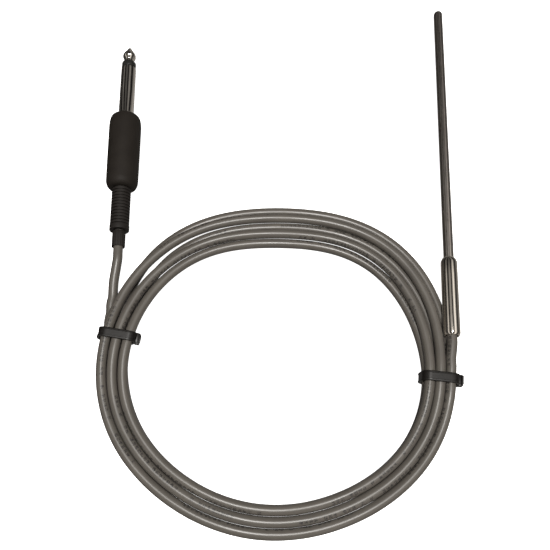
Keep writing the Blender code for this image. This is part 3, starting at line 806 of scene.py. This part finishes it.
def add_tip(look):
    nose = arc(0, TIP_END - 0.55, 0.55, 90, 25, 4)
    cone = [(0.85, 0.75), (1.3, 1.65), (1.9, 2.65)]
    ball = [(2.3, 3.2), (2.6, 3.75), (2.78, 4.35), (2.84, 4.9), (2.79, 5.4), (2.6, 5.85)]
    groove = [(2.25, 6.25), (1.93, 6.6), (1.8, 6.95), (1.84, 7.25), (2.08, 7.55), (2.4, 7.85), (2.5, 8.05)]
    outline = [(0, TIP_END)] + nose[1:] + [(radius, TIP_END - back) for radius, back in cone + ball + groove]
    outline += [(2.5, TIP_SHOULDER), (ROD_RADIUS, TIP_SHOULDER), (ROD_RADIUS, ROD_END), (0, ROD_END)]
    return turned("plug_tip", outline, look, ROOT, ("tip_contact",), PLUG, 64)


def add_tip_insulator(look):
    outline = (
        [(RING_BORE, RING_REAR), (3.0, RING_REAR)] + arc(2.9, RING_REAR + 0.15, 0.15, -60, 0, 2)
        + [(3.05, RING_FRONT - 0.75)] + arc(2.65, RING_FRONT - 0.4, 0.4, 15, 80, 4)
        + [(RING_BORE, RING_FRONT)]
    )
    return turned("insulator_ring", outline, look, ROOT, ("tip_insulator",), PLUG, 64)


def add_barrel(look):
    """The barrel with its flange and the threaded boss that the cover screws on to."""

    def thread(radius, height, angle):
        if radius != BOSS_RADIUS or height < BOSS_END + 0.4:
            return radius
        turn = ((height / THREAD_PITCH + angle / math.tau) % 1.0) * 2 - 1
        return radius - THREAD_DEPTH * min(1.0, THREAD_SLOPE * abs(turn))

    boss = [(BOSS_RADIUS, -1.2 - THREAD_PITCH / 6 * step) for step in range(37)]
    front = BARREL_FRONT
    rim = FLANGE_RADIUS - 0.15
    outline = (
        [(BARREL_BORE, front - 0.1)] + arc(BARREL_RADIUS - 0.3, front - 0.3, 0.3, 100, 0, 5)
        + [(BARREL_RADIUS, front - 0.9), (BARREL_RADIUS, 12), (BARREL_RADIUS, 0.15), (3.25, 0.0)]
        + arc(rim, -0.15, 0.15, 90, 0, 3) + arc(rim, -0.65, 0.15, 0, -90, 3)
        + [(NECK_RADIUS, -0.82), (NECK_RADIUS, -1.1)] + boss
        + [(NECK_RADIUS, BOSS_END), (BARREL_BORE, BOSS_END)]
    )
    return turned("barrel", outline, look, ROOT, ("plug_barrel",), PLUG, 96, thread)


def add_cover(look):
    """The screw-on cover: a rounded shoulder, a plain grip and a rear that curves in to the boot."""
    shoulder = [
        (5.25, 0), (5.5, 0.06), (5.75, 0.25), (6.0, 0.55), (6.2, 1.0), (6.36, 1.6), (6.48, 2.3),
        (6.57, 3.1), (6.62, 3.9), (6.65, 4.8),
    ]
    grip = [(6.62, 12), (6.56, 20), (6.5, 27)]
    tail = [
        (6.44, 3.4), (6.38, 2.7), (6.24, 2.05), (6.02, 1.45), (5.72, 0.93), (5.36, 0.53), (4.95, 0.27),
        (4.5, 0.12), (4.0, 0.0),
    ]
    outline = [(COVER_THREAD, COVER_FRONT - 0.3), (4.45, COVER_FRONT)]
    outline += [(radius, COVER_FRONT - back) for radius, back in shoulder + grip]
    outline += [(radius, COVER_REAR + ahead) for radius, ahead in tail]
    outline += [
        (COVER_REAR_HOLE, COVER_REAR), (COVER_REAR_HOLE, COVER_REAR + 3.2), (4.8, COVER_REAR + 3.8),
        (COVER_CAVITY, COVER_REAR + 5.6), (COVER_CAVITY, BOSS_END - 1.2), (COVER_THREAD, BOSS_END - 0.6),
    ]
    return turned("cover", outline, look, "cover", ("plug_cover",), PLUG, 96)


def add_boot(look):
    """The strain relief: ribs with rounded crowns, then a plain band."""
    band_top = BOOT_REAR + BAND_LENGTH
    pitch = (BOOT_FRONT - band_top) / BOOT_RIBS
    crown = RIB_CROWN - 0.22
    ribs = []
    for number in range(BOOT_RIBS):
        top = BOOT_FRONT - number * pitch
        ribs += arc(crown, top - 0.27, 0.22, 70, 0, 3)
        ribs += arc(crown, top - 0.62 * pitch, 0.22, 0, -70, 3)
        ribs += [(RIB_ROOT + 0.05, top - 0.74 * pitch), (RIB_ROOT, top - 0.8 * pitch)]
        ribs += [(RIB_ROOT, top - 0.93 * pitch)]
    inner_end = COVER_REAR + 5.4
    outline = (
        [(LEAD_BORE, inner_end), (BOOT_FLANGE, inner_end), (BOOT_FLANGE, inner_end - 1.2)]
        + [(BOOT_NECK, inner_end - 2.0), (BOOT_NECK, BOOT_FRONT)] + ribs
        + arc(BAND_RADIUS - 0.25, band_top - 0.2, 0.25, 80, 0, 3)
        + arc(BAND_RADIUS - 0.3, BOOT_REAR + 0.3, 0.3, 0, -90, 4) + [(LEAD_BORE, BOOT_REAR)]
    )
    return turned("boot", outline, look, "boot", ("cover_boot",), PLUG, 72)


def add_collar(look):
    """The collar behind the boot, fluted lengthwise."""

    def flutes(radius, height, angle):
        if radius < COLLAR_RADIUS - 0.1:
            return radius
        return radius - FLUTE_DEPTH * (1 + math.cos(FLUTES * angle)) / 2

    front = COLLAR_FRONT
    rear = COLLAR_REAR
    edge = 0.25
    outline = (
        [(LEAD_BORE, rear + 0.2), (COLLAR_RADIUS - edge, rear)]
        + arc(COLLAR_RADIUS - edge, rear + edge, edge, -80, 0, 3)
        + [(COLLAR_RADIUS, rear + 2), (COLLAR_RADIUS, front - 2)]
        + arc(COLLAR_RADIUS - edge, front - edge, edge, 0, 80, 3) + [(LEAD_BORE, front)]
    )
    return turned("collar", outline, look, "boot", ("boot_collar",), PLUG, 120, flutes)


CAD_LOOKS = {
    "tinned": (
        "junction_bead", "splice_crimp_positive", "splice_crimp_negative", "rod_rivet", "sleeve_lug",
        "tip_lug", "solder_joint_sleeve", "solder_joint_tip",
    ),
    "vinyl": ("cover_liner", "rod_insulator"),
    "fibre": ("insulating_washer",),
    "ceramic": ("insulator_core",),
    "epoxy": ("potting",),
    "chromel": ("thermo_wire_positive",),
    "alumel": ("thermo_wire_negative",),
    "yellow": ("probe_core_positive", "plug_core_tip"),
    "red": ("probe_core_negative", "plug_core_sleeve"),
}


def dress_cad(looks):
    """The pieces that keep their CAD shape get their finished material."""
    for look, nodes in CAD_LOOKS.items():
        for node in nodes:
            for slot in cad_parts[node].material_slots:
                slot.material = looks[look]


FLOOR_DROP = 0.05 * MM  # below the object's lowest point, so that nothing cuts it
FLOOR_HALF_SIZE = 3
FLOOR_GLOW = 1.1


def add_floor():
    """White paper that shows pure white and lights nothing itself."""
    bm = bmesh.new()
    bmesh.ops.create_grid(bm, x_segments=1, y_segments=1, size=FLOOR_HALF_SIZE)
    mesh = bpy.data.meshes.new("floor")
    bm.to_mesh(mesh)
    bm.free()
    floor = bpy.data.objects.new("floor", mesh)
    floor.location.z = -FLOOR_DROP
    s = Shader("floor_paper", (0.9, 0.9, 0.9), 0.9)
    s.surface.inputs["Emission Color"].default_value = (1, 1, 1, 1)
    s.surface.inputs["Emission Strength"].default_value = FLOOR_GLOW
    s.roughness(s.remap(s.noise(s.position, 60), 0.3, 0.7, 0.85, 0.95))
    mesh.materials.append(s.material)
    floor.visible_diffuse = False
    floor.visible_glossy = False
    bpy.context.scene.collection.objects.link(floor)


def main():
    add_camera()
    looks = build_looks()
    angles, tracks, points, length = lead_route()
    lead = add_lead(looks["jacket"], points, length)
    ties = [add_tie(side, angles, tracks, looks["nylon"]) for side in TIE_ANGLES]
    plug = [
        add_tip(looks["nickel"]), add_tip_insulator(looks["insulator"]), add_barrel(looks["nickel"]),
        add_cover(looks["cover"]), add_boot(looks["boot"]), add_collar(looks["boot"]),
    ]
    add_sheath(looks["sheath"])
    add_sleeve(looks["sleeve"])
    dress_cad(looks)
    add_floor()
    add_studio()


main()
